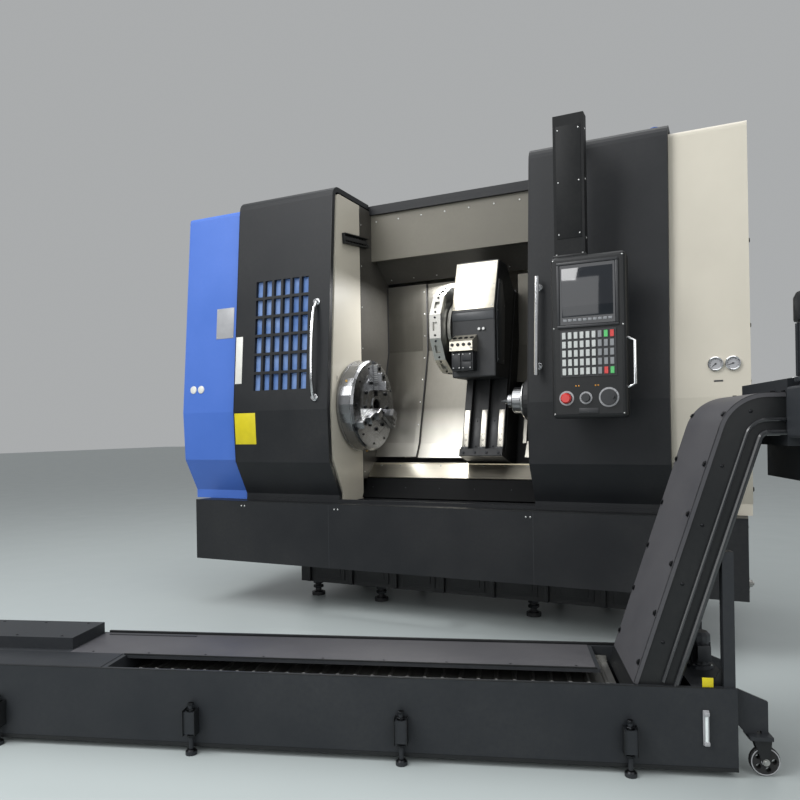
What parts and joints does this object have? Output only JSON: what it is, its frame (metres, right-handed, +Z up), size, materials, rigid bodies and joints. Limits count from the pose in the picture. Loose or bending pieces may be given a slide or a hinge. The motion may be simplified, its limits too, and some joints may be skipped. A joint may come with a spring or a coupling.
{
  "type": "cnc turning lathe",
  "caption": "Enclosed CNC turning lathe with slanted bed, sliding doors, turret, tailstock and hanging control pendant, its chip conveyor drawn out in front.",
  "frame": {"origin": "centre of the whole's bounding box, on the floor", "axes": "+X along the spindle towards the tailstock, +Y from the operator's side to the back, +Z up"},
  "size_m": [3.862, 3.8424, 2.655],
  "materials": {
    "black_paint": "satin textured paint",
    "blue_paint": "satin paint",
    "white_paint": "satin paint",
    "beige_paint": "satin paint",
    "grey_sheet": "oiled sheet steel",
    "bright_sheet": "brushed sheet steel",
    "casting": "painted casting",
    "housing_paint": "satin paint",
    "turned_steel": "ground and turned",
    "chrome": "polished",
    "window_glass": "clear",
    "belt_rubber": "matte",
    "wheel_rubber": "matte",
    "dark_plastic": "matte",
    "key_plastic": "matte",
    "screen_glass": "gloss",
    "stop_red": "gloss"
  },
  "bodies": {
    "frame": {"bed_casting": "casting", "front_tray": "black_paint", "left_end_cover": "blue_paint", "right_end_cover": "white_paint", "left_cheek": "white_paint", "headstock_wall": "grey_sheet", "roof_lintel": "beige_paint", "top_rail": "black_paint", "pendant_rail": "black_paint", "work_ceiling": "black_paint", "chip_slide": "bright_sheet", "chip_apron": "black_paint", "tailstock_chip_slide": "grey_sheet", "left_fixed_cover": "grey_sheet", "right_fixed_cover": "grey_sheet", "rear_cover": "white_paint", "headstock": "casting", "spindle_motor": "housing_paint", "drive_belt": "belt_rubber", "cabinet_shell": "white_paint", "cabinet_panel": "grey_sheet", "conveyor_tank": "black_paint", "hinged_belt": "turned_steel", "conveyor_incline": "black_paint", "discharge_head": "black_paint", "conveyor_motor": "housing_paint", "coolant_pump": "housing_paint"},
    "left_door": {"left_door": "black_paint", "left_door_glass": "window_glass", "left_door_handle": "chrome"},
    "right_door": {"right_door": "black_paint", "right_door_handle": "chrome"},
    "spindle": {"spindle": "turned_steel", "chuck_body": "turned_steel"},
    "jaw_1": {"chuck_jaw_1": "turned_steel"},
    "jaw_2": {"chuck_jaw_2": "turned_steel"},
    "jaw_3": {"chuck_jaw_3": "turned_steel"},
    "motor_rotor": {"motor_pulley": "turned_steel"},
    "saddle": {"saddle": "casting", "left_saddle_cover": "grey_sheet", "right_saddle_cover": "grey_sheet"},
    "cross_slide": {"turret_housing": "housing_paint", "coolant_manifold": "grey_sheet"},
    "turret": {"turret_disc": "turned_steel"},
    "tailstock": {"tailstock_body": "casting"},
    "quill": {"tailstock_quill": "turned_steel"},
    "live_centre": {"live_centre": "chrome"},
    "pendant_carriage": {"pendant_hanger": "black_paint"},
    "pendant": {"pendant_housing": "black_paint", "pendant_screen": "screen_glass", "pendant_keypad": "key_plastic"},
    "emergency_button": {"emergency_button": "stop_red"},
    "override_knob": {"override_knob": "dark_plastic"},
    "handwheel": {"handwheel": "dark_plastic"},
    "cabinet_door": {"cabinet_door": "white_paint"},
    "main_switch": {"main_switch": "stop_red"},
    "caster_front": {"caster_fork_front": "black_paint"},
    "caster_rear": {"caster_fork_rear": "black_paint"},
    "wheel_front": {"caster_wheel_front": "wheel_rubber"},
    "wheel_rear": {"caster_wheel_rear": "wheel_rubber"}
  },
  "joints": [
    {"name": "left_door_slide", "type": "slide", "parent": "frame", "child": "left_door", "axis": [1, 0, 0], "range_m": [0, 0.603]},
    {"name": "right_door_slide", "type": "slide", "parent": "frame", "child": "right_door", "axis": [1, 0, 0], "range_m": [-0.603, 0]},
    {"name": "spindle_spin", "type": "hinge", "parent": "frame", "child": "spindle", "pos_m": [-0.78101, 0.51629, 1.275], "axis": [1, 0, 0], "continuous": true},
    {"name": "motor_spin", "type": "hinge", "parent": "frame", "child": "motor_rotor", "pos_m": [-1.48101, 0.78629, 0.86], "axis": [1, 0, 0], "continuous": true},
    {"name": "jaw_1_slide", "type": "slide", "parent": "spindle", "child": "jaw_1", "axis": [0, 0, 1], "range_m": [-0.012, 0.012]},
    {"name": "jaw_2_slide", "type": "slide", "parent": "spindle", "child": "jaw_2", "axis": [0, 0.866, -0.5], "range_m": [-0.012, 0.012]},
    {"name": "jaw_3_slide", "type": "slide", "parent": "spindle", "child": "jaw_3", "axis": [0, -0.866, -0.5], "range_m": [-0.012, 0.012]},
    {"name": "z_slide", "type": "slide", "parent": "frame", "child": "saddle", "axis": [1, 0, 0], "range_m": [-0.2, 0.08]},
    {"name": "x_slide", "type": "slide", "parent": "saddle", "child": "cross_slide", "axis": [0, 0.2588, 0.9659], "range_m": [-0.16, 0.03]},
    {"name": "turret_index", "type": "hinge", "parent": "cross_slide", "child": "turret", "pos_m": [-0.12101, 0.63535, 1.71933], "axis": [1, 0, 0], "continuous": true},
    {"name": "tailstock_slide", "type": "slide", "parent": "frame", "child": "tailstock", "axis": [1, 0, 0], "range_m": [0, 0.45]},
    {"name": "quill_slide", "type": "slide", "parent": "tailstock", "child": "quill", "axis": [1, 0, 0], "range_m": [-0.1, 0]},
    {"name": "centre_spin", "type": "hinge", "parent": "quill", "child": "live_centre", "pos_m": [0.24899, 0.51629, 1.275], "axis": [1, 0, 0], "continuous": true},
    {"name": "pendant_slide", "type": "slide", "parent": "frame", "child": "pendant_carriage", "axis": [1, 0, 0], "range_m": [-0.55, 0.25]},
    {"name": "pendant_swivel", "type": "hinge", "parent": "pendant_carriage", "child": "pendant", "pos_m": [0.69799, -0.02121, 1.93], "axis": [0, 0, 1], "range_deg": [-45, 10]},
    {"name": "emergency_press", "type": "slide", "parent": "pendant", "child": "emergency_button", "axis": [0, 1, 0], "range_m": [0, 0.006], "stiffness_N_per_m": 900},
    {"name": "override_turn", "type": "hinge", "parent": "pendant", "child": "override_knob", "pos_m": [0.76899, -0.08371, 1.255], "axis": [0, 1, 0], "range_deg": [-150, 150]},
    {"name": "handwheel_turn", "type": "hinge", "parent": "pendant", "child": "handwheel", "pos_m": [0.87399, -0.08371, 1.255], "axis": [0, 1, 0], "continuous": true},
    {"name": "cabinet_door_hinge", "type": "hinge", "parent": "frame", "child": "cabinet_door", "pos_m": [-1.33101, 1.85689, 1.26], "axis": [0, 0, 1], "range_deg": [0, 115]},
    {"name": "main_switch_turn", "type": "hinge", "parent": "cabinet_door", "child": "main_switch", "pos_m": [0.54899, 1.87889, 1.5], "axis": [0, 1, 0], "range_deg": [0, 90]},
    {"name": "caster_swivel_front", "type": "hinge", "parent": "frame", "child": "caster_front", "pos_m": [1.45694, -0.93283, 0.047], "axis": [0, 0, 1], "continuous": true},
    {"name": "caster_spin_front", "type": "hinge", "parent": "caster_front", "child": "wheel_front", "pos_m": [1.47221, -0.92805, 0.047], "axis": [-0.2989, 0.9543, 0], "continuous": true},
    {"name": "caster_swivel_rear", "type": "hinge", "parent": "frame", "child": "caster_rear", "pos_m": [1.34696, -0.58165, 0.047], "axis": [0, 0, 1], "continuous": true},
    {"name": "caster_spin_rear", "type": "hinge", "parent": "caster_rear", "child": "wheel_rear", "pos_m": [1.36223, -0.57687, 0.047], "axis": [-0.2989, 0.9543, 0], "continuous": true}
  ],
  "couplings": [
    {"joint": "motor_spin", "follows": "spindle_spin", "ratio": 1.7647},
    {"joint": "jaw_2_slide", "follows": "jaw_1_slide", "ratio": 1},
    {"joint": "jaw_3_slide", "follows": "jaw_1_slide", "ratio": 1}
  ]
}
